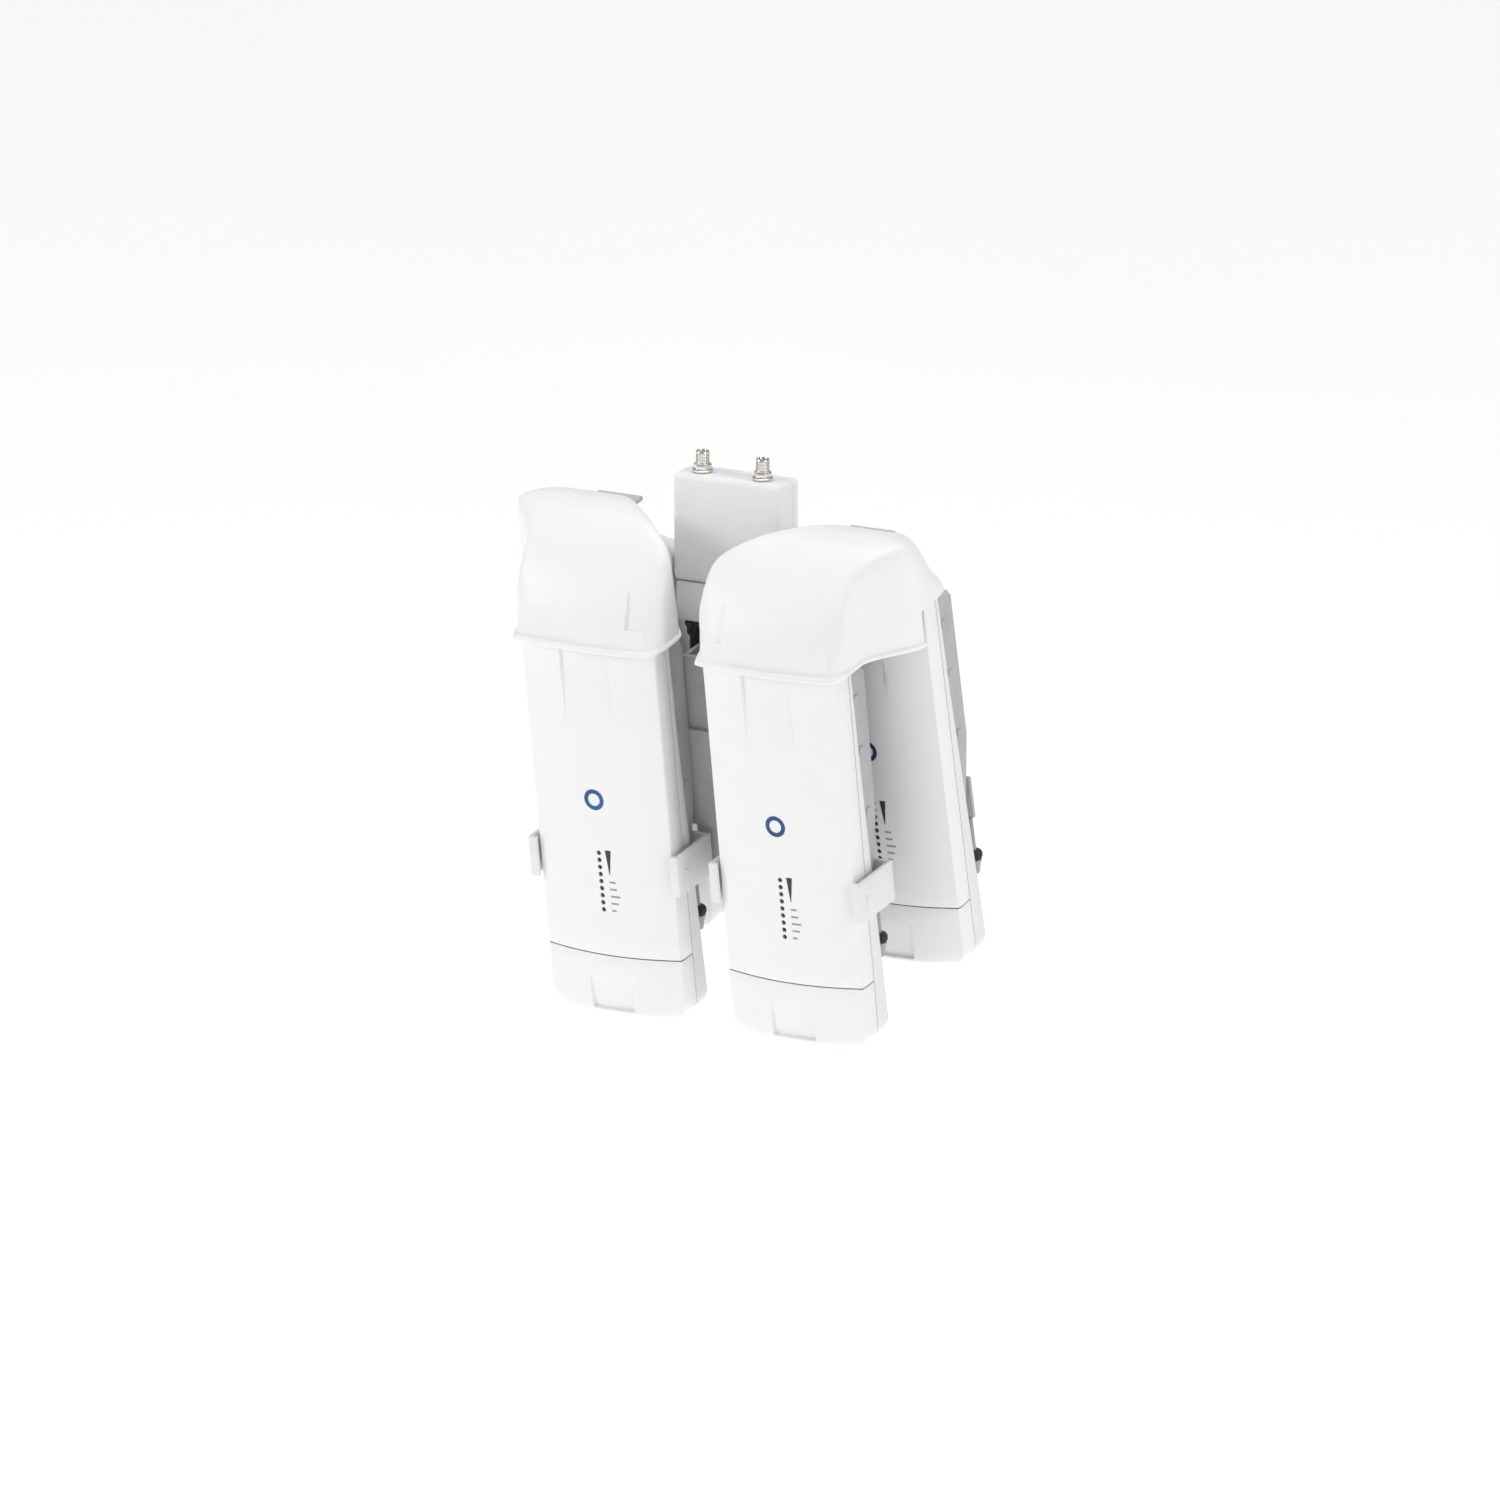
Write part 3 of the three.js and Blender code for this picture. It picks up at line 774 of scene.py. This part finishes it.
def hood_field(a, b, c):
    """Negative inside the hood: a smooth blend of its walls, slopes, roof and two cut rear corners."""
    bowed = b - FRONT_BOW * min(a, HOOD_HALF) ** 2 * smooth((30 - b) / 25)
    below = max(0, CUT_FOOT - c)
    ia, ib, ic, inner = INNER_CUT
    oa, ob, oc, outer = OUTER_CUT
    walls = (
        (a - hood_outer(b)) * 0.9,
        (hood_inner(b) - a) * 0.9,
        b - HOOD_BACK,
        beyond(PROFILE, bowed, c),
        beyond(CROWN, a, c),
        ia * a + ib * b + ic * c - inner - INNER_LEAN * below,
        oa * a + ob * b + oc * c - outer - OUTER_LEAN * below,
    )
    top = max(walls)
    return top + BLEND * math.log(sum(math.exp((wall - top) / BLEND) for wall in walls))


def cast(origin, direction):
    """Where a ray from inside the hood meets its surface."""
    near, far = 0.0, 80.0
    for _ in range(16):
        middle = (near + far) / 2
        if hood_field(*(origin + direction * middle)) < 0:
            near = middle
        else:
            far = middle
    return origin + direction * near


def hood_stations():
    """Pairs of a point inside the hood and a direction outwards, all the way round."""
    stations = []

    def core(b):
        t = min(1, max(0, (b - SIDE_START) / (SIDE_END - SIDE_START)))
        along = RIDGE_START + (RIDGE_END - RIDGE_START) * t
        return Vector(((hood_inner(along) + hood_outer(along)) / 2, along, 0))

    sides = [SIDE_START + (STEP_B - SIDE_START) * i / 18 for i in range(19)]
    sides += [STEP_B + (SIDE_END - STEP_B) * i / 7 for i in range(1, 8)]
    targets = [(hood_outer(b), b) for b in sides]
    targets += [(HOOD_SHIFT + HOOD_REAR_HALF * (1 - i / 10), HOOD_BACK) for i in range(21)]
    targets += [(hood_inner(b), b) for b in reversed(sides)]
    targets += [(-HOOD_HALF + 0.9 * i, HOOD_FRONT) for i in range(26)]
    targets += [(-HOOD_HALF + 22.5 + 67.5 * i / 26, HOOD_FRONT) for i in range(1, 27)]
    for a, b in targets:
        inside = core(b)
        stations.append((inside, (Vector((a, b, 0)) - inside).normalized()))
    return stations


def lip(z, facing):
    """How far the wall stands out near the lip: a rolled bead, above which the front wall draws in.
    Facing is 1 at the front and 0 at the sides."""
    if z < BEAD_MIDDLE + BEAD_HALF:
        return BEAD_OUT * math.sqrt(max(0, 1 - ((z - BEAD_MIDDLE) / BEAD_HALF) ** 2))
    return -DRAW_IN * smooth((DRAW_TOP - z) / 6.5) * smooth((facing - 0.5) / 0.4)


def pocketed(hood):
    """The hood with a grip pocket cut low in its front wall, on the inner side. The cut fades out upwards."""
    tool = bmesh.new()
    side = [(-14, POCKET_LOW), (0.3, POCKET_LOW), (9.4, POCKET_HIGH), (-14, POCKET_HIGH)]
    prism(tool, side, "x", -60, POCKET_EDGE)
    return carved(hood, tool, "pocket", angle=40)


def hood_mesh():
    """A shell where rays from a ridge line meet the hood's field: level rings up the walls, then rings
    that climb to the roof. Behind the step the walls end higher, at SKIRT_REAR, to clear the rear radio."""
    stations = hood_stations()
    count = len(stations)
    lower = [0, 0.15, 0.5, 0.9, 1.4, 1.9, 2.3, 2.6, 2.8, 2.95, 3.6, 4.6, 6, 7.5, 9, 10.5, 12.5, 14.5,
             16.5, 18.5, SKIRT_REAR]
    climb = 22
    rings = []
    for k in range(len(lower) + climb):
        ring = []
        for inside, outward in stations:
            z = lower[min(k, len(lower) - 1)]
            lift = math.pi / 2 * max(0, k + 1 - len(lower)) / climb
            ray = outward * math.cos(lift) + Vector((0, 0, math.sin(lift)))
            point = cast(inside + Vector((0, 0, z)), ray)
            stand = lip(point.z, -outward.y) if point.z < LIP_TOP else 0
            point += outward * stand
            ring.append(tuple(point))
        rings.append(ring)
    bm = bmesh.new()
    rows = [[bm.verts.new(p) for p in ring] for ring in rings]
    for k in range(len(rows) - 1):
        for i in range(count):
            j = (i + 1) % count
            behind = min(rings[0][i][1], rings[0][j][1]) >= STEP_B - 0.6
            if behind and k + 1 < len(lower):
                continue
            bm.faces.new((rows[k][i], rows[k][j], rows[k + 1][j], rows[k + 1][i]))
    loose = [v for v in bm.verts if not v.link_faces]
    bmesh.ops.delete(bm, geom=loose, context="VERTS")
    bmesh.ops.remove_doubles(bm, verts=bm.verts, dist=0.02)
    bmesh.ops.recalc_face_normals(bm, faces=bm.faces)
    if sum(f.normal.z for f in bm.faces) < 0:
        bmesh.ops.reverse_faces(bm, faces=bm.faces)
    mesh = mesh_of(bm, "hood", 60)
    subdivide = ("SUBSURF", {"levels": 1, "render_levels": 1})
    return pocketed(worked(mesh, subdivide, thick(WALL), angle=50))


def mirrored(mesh):
    other = mesh.copy()
    other.transform(Matrix.Scale(-1, 4, (1, 0, 0)))
    other.flip_normals()
    return other


def hood_tab_mesh():
    """The flat tab that looks out at the hood's back."""
    bm = bmesh.new()
    outline = rounded(HOOD_SHIFT - TAB_HALF, HOOD_SHIFT + TAB_HALF, HOOD_BACK - 10, HOOD_BACK + 1.2, 1.2)
    prism(bm, outline, "z", *TAB_Z)
    return worked(mesh_of(bm, "hood_tab"), bevel(0.5, 3))


# ---- Multiplexer box ----

def soft_box(x0, x1, y0, y1, z0, z1, r):
    bm = bmesh.new()
    slab(bm, x0, x1, y0, y1, z0, z1)
    return worked(mesh_of(bm, "soft_box"), bevel(r, 6, 60))


def cut_box(mesh, point, outward, name):
    """A hollow half of a closed box."""
    bm = reopened(mesh)
    keep(bm, point, outward)
    return worked(mesh_of(bm, name), thick(WALL), bevel(0.25, 2, 70))


def build_box():
    whole = soft_box(-BOX_HALF, BOX_HALF, BOX_FRONT, BOX_BACK, COVER_BOTTOM, BOX_TOP, BOX_ROUND)
    cover = cut_box(whole, (0, BOX_SPLIT - GAP / 2, 0), (0, 1, 0), "front_cover")
    housing = cut_box(whole, (0, BOX_SPLIT + GAP / 2, 0), (0, -1, 0), "rear_housing")
    show("box_front_cover", cover, UPRIGHT, "frame", BOX, ["multiplexer_front_cover"])
    show("box_rear_housing", housing, UPRIGHT, "frame", BOX, ["multiplexer_rear_housing"])
    base_half = BOX_HALF - BASE_INSET
    base = soft_box(-base_half, base_half, BOX_FRONT + 1, BOX_BACK - 1, BASE_BOTTOM,
                    COVER_BOTTOM - GAP, 1.6)
    show("box_base", base, UPRIGHT, "frame", BOX, ["multiplexer_base"])
    profile = [(0.5, -16), (2.6, -16), (2.6, -9.4), (3.0, -9), (4.0, -7.6), (4.2, -7), (4.2, -3.4),
               (5.0, -3.2), (5.2, -3), (5.2, -0.4), (0.5, -0.4)]
    gland = mesh_of(turned(profile, 36, (-3.3, -0.3, 12, 0.5)), "gland")
    for side, sign in (("left", -1), ("right", 1)):
        seat = local(sign * JACK_X, JACK_Y, BOX_TOP + GAP, 0)
        show(f"output_jack_{side}", JACK, seat, "frame", NICKEL,
             [f"multiplexer_output_jack_{side}"])
        seat = local(sign * GLAND_X, GLAND_Y, BASE_BOTTOM, 0)
        show(f"cable_gland_{side}", gland, seat, "frame", DARK,
             [f"multiplexer_cable_gland_{side}"])


# ---- Build ----

RADOME = radome_mesh()
DOOR = door_mesh()
REAR_CASE = rear_case_mesh()
SEAM_SHADE = seam_shade_mesh()
EMBLEM = emblem_mesh()
SIGNAL = signal_mark_mesh()
TICKS = tick_marks_mesh()
BRACKET = bracket_mesh()
CRADLE = cradle_mesh()
CRADLE_PLATE = cradle_plate_mesh()
SCREW = thumb_screw_mesh()
SCREW_CAP = thumb_cap_mesh()
JACK = jack_mesh()


def build_radio(where, x, y, z, pitch):
    seat = local(x, y, z, pitch)
    show(f"radome_{where}", RADOME, seat, "frame", WHITE, [f"radio_{where}_radome"])
    show(f"cable_door_shell_{where}", DOOR, seat, f"cable_door_{where}", WHITE,
         [f"radio_{where}_cable_door"])
    show(f"rear_case_{where}", REAR_CASE, seat, "frame", OFF_WHITE,
         [f"radio_{where}_rear_case"])
    # Painted shade in the seams: a near-black strip under the seam gaps.
    show(f"seam_shade_strip_{where}", SEAM_SHADE, seat, "frame", SEAM_SHADE_BLACK)
    show(f"emblem_{where}", EMBLEM, seat, "frame", BLUE_INK)
    show(f"signal_mark_{where}", SIGNAL, seat, "frame", INK)
    show(f"tick_marks_{where}", TICKS, seat, "frame", PALE_INK)
    show(f"mount_bracket_{where}", BRACKET, seat, "frame", GREY, [f"bracket_{where}"])
    cradle, finish = (CRADLE, WING) if where.startswith("front") else (CRADLE_PLATE, GREY)
    show(f"lower_cradle_{where}", cradle, seat, "frame", finish, [f"cradle_{where}"])
    hang = seat @ Matrix.Translation(Vector((SCREW_A, SCREW_B, CRADLE_BOTTOM)) * MM)
    body = f"thumb_screw_{where}"
    show(f"thumb_knob_{where}", SCREW, hang, body, KNOB_GREY, [body])
    show(f"thumb_cap_{where}", SCREW_CAP, hang, body, DARK)
    for tag, a in (("a", -JACK_A), ("b", JACK_A)):
        top = seat @ Matrix.Translation(Vector((a, JACK_B, RADIO_TOP + GAP)) * MM)
        show(f"antenna_jack_{where}_{tag}", JACK, top, "frame", NICKEL,
             [f"radio_{where}_antenna_jack_{tag}"])


for where, place in RADIOS.items():
    build_radio(where, *place)

HOOD = hood_mesh()
TAB = hood_tab_mesh()
HOODS = {
    "left": (-FRONT_X, mirrored(HOOD), mirrored(TAB)),
    "right": (FRONT_X, HOOD, TAB),
}
for side, (x, hood, tab) in HOODS.items():
    seat = local(x, 0, 0, HOOD_PITCH)
    show(f"hood_shell_{side}", hood, seat, f"hood_{side}", WHITE, [f"hood_{side}"])
    show(f"hood_tab_{side}", tab, seat, f"hood_{side}", TAB_GREY)

build_box()

# CAD nodes that stay in view get a finish and a softened edge, and are otherwise as they came.
CARRIED = {
    "circuit_board": BOARD,
    "light_pipe": LENS,
    "mount_bolt": NICKEL,
    "cross_plate": GREY,
    "multiplexer_bracket": GREY,
    "central_spine": GREY,
}
CARRIED_EDGE = 0.4
for name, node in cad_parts.items():
    for part, material in CARRIED.items():
        if part in name:
            node.data.materials.clear()
            node.data.materials.append(material)
            edge = node.modifiers.new("edge", "BEVEL")
            edge.width = CARRIED_EDGE * MM
            edge.segments = 2
            edge.limit_method = "ANGLE"


# ---- Mount block, its inserts and the plate screws ----

INSERT_X = 24
INSERT_Z = 14
INSERT_RADIUS = 3.3
INSERT_DEPTH = 7
SLOT_PITCH = 13
SLOT_HALF = 4.2
PLATE_SCREW_A = 22
PLATE_SCREW_C = (-66, -105)
PLATE_BACK = BRACKET_BACK + GAP + SHEET
BOX_PLATE_BACK = BOX_BACK + GAP + 2.6


def facing_back(x, y, z):
    """A turned body's own axis laid along +Y at a place in millimetres."""
    return Matrix.Translation(Vector((x, y, z)) * MM) @ Matrix.Rotation(math.radians(-90), 4, "X")


def insert_places(middle):
    """The four inserts' (x, z) in the mount block, about the height of its middle."""
    return [(x, z) for x in (-INSERT_X, INSERT_X) for z in (middle - INSERT_Z, middle + INSERT_Z)]


def mount_block_mesh(middle, low, high):
    """The moulded block with blind holes for its inserts, a shallow panel and lightening slots."""
    tool = bmesh.new()
    for x, z in insert_places(middle):
        prism(tool, circle(x, z, INSERT_RADIUS, 32), "y", -INSERT_DEPTH, 3)
    prism(tool, rounded(-15, 15, middle - 17, middle + 17, 3), "y", -1.2, 3)
    for i in range(-2, 3):
        x = i * SLOT_PITCH
        for start, end in ((low - 2, low + 4), (high - 4, high + 2)):
            slab(tool, x - SLOT_HALF, x + SLOT_HALF, -20, -4, start, end)
    return carved(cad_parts["mount_block"].data.copy(), tool, "pockets", bevel(0.7, 3))


def build_mount():
    low, high = (corner.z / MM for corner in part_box("mount_block"))
    middle = (low + high) / 2
    show("mount_pad", mount_block_mesh(middle, low, high), Matrix.Identity(4), "frame", DARK,
         ["mount_block"])
    sleeve = [(0.3, -6.5), (3.2, -6.5), (3.2, -0.3), (3.0, -0.1), (2.7, -0.1), (2.5, -0.3), (2.5, -6),
              (0.3, -6)]
    insert = mesh_of(turned(sleeve, 36), "insert")
    for index, (x, z) in enumerate(insert_places(middle), 1):
        show(f"mount_insert_{index}", insert, facing_back(x, 0, z), "frame", NICKEL)
    dome = [(0.4, 0.05), (3.3, 0.05), (3.3, 1.0), (2.8, 1.7), (1.7, 2.0), (1.6, 1.9), (1.5, 0.9),
            (0.4, 0.8)]
    head = mesh_of(turned(dome, 30), "screw_head")
    seats = []
    for row, radio_x in ((local(0, 0, 0, FRONT_PITCH), FRONT_X),
                         (local(0, REAR_Y, REAR_Z, REAR_PITCH), REAR_X)):
        seats += [row @ facing_back(sign * (radio_x + step), PLATE_BACK, c)
                  for sign in (-1, 1) for step in (-PLATE_SCREW_A, PLATE_SCREW_A) for c in PLATE_SCREW_C]
    seats += [UPRIGHT @ facing_back(x, BOX_PLATE_BACK, z) for x in (-18, 18) for z in (14, 55)]
    for index, seat in enumerate(seats, 1):
        show(f"plate_screw_{index}", head, seat, "frame", NICKEL)


build_mount()


# ---- Camera, floor and light ----

def aim(thing, target):
    thing.rotation_euler = (Vector(target) - thing.location).to_track_quat("-Z", "Y").to_euler()


AIM = (Vector((17, 50, -59)) + ORIGIN) * MM
AZIMUTH = math.radians(30)
ELEVATION = math.radians(14.65)
DISTANCE = 9.0
VIEW_WIDTH = 0.802
FLOOR_REACH = 200
FLOOR_DROP = 0.45
PAPER_GLOW = 0.64
WORLD_LIGHT = 0.36

camera = bpy.data.objects.new("camera", bpy.data.cameras.new("camera"))
bpy.context.scene.collection.objects.link(camera)
camera.data.sensor_width = 36
camera.data.lens = camera.data.sensor_width * DISTANCE / VIEW_WIDTH
away = Vector((math.sin(AZIMUTH) * math.cos(ELEVATION), -math.cos(AZIMUTH) * math.cos(ELEVATION),
               math.sin(ELEVATION)))
camera.location = AIM + away * DISTANCE
aim(camera, AIM)
bpy.context.scene.camera = camera

floor_mesh = bpy.data.meshes.new("floor")
level = CAD_BOX[0].z - FLOOR_DROP
corners = [(-1, -1), (1, -1), (1, 1), (-1, 1)]
floor_mesh.from_pydata([(FLOOR_REACH * u, FLOOR_REACH * v, level) for u, v in corners], [],
                       [(0, 1, 2, 3)])
floor = bpy.data.objects.new("floor", floor_mesh)
bpy.context.scene.collection.objects.link(floor)
PAPER = surface("paper", (0.72, 0.72, 0.72), (0.74, 0.74, 0.74), 0.9, grain=40, bump=0.02, spread=2)
paper_shader = PAPER.node_tree.nodes["Principled BSDF"]
paper_shader.inputs["Emission Color"].default_value = (1, 1, 1, 1)
paper_shader.inputs["Emission Strength"].default_value = PAPER_GLOW
floor_mesh.materials.append(PAPER)


def area_light(name, offset, size, power_w):
    light = bpy.data.objects.new(name, bpy.data.lights.new(name, "AREA"))
    bpy.context.scene.collection.objects.link(light)
    light.data.size = size
    light.data.energy = power_w
    light.location = AIM + Vector(offset)
    aim(light, AIM)


area_light("right", (2.2, -0.5, 0.7), 1.0, 12)
area_light("front", (-2.0, -1.7, 0.9), 1.0, 22)
area_light("top", (0.1, 0.1, 2.2), 1.8, 30)

world = bpy.data.worlds.new("studio")
bpy.context.scene.world = world
world.use_nodes = True
background = world.node_tree.nodes["Background"]
background.inputs["Color"].default_value = (1, 1, 1, 1)
background.inputs["Strength"].default_value = WORLD_LIGHT
bpy.context.scene.view_settings.view_transform = "Standard"
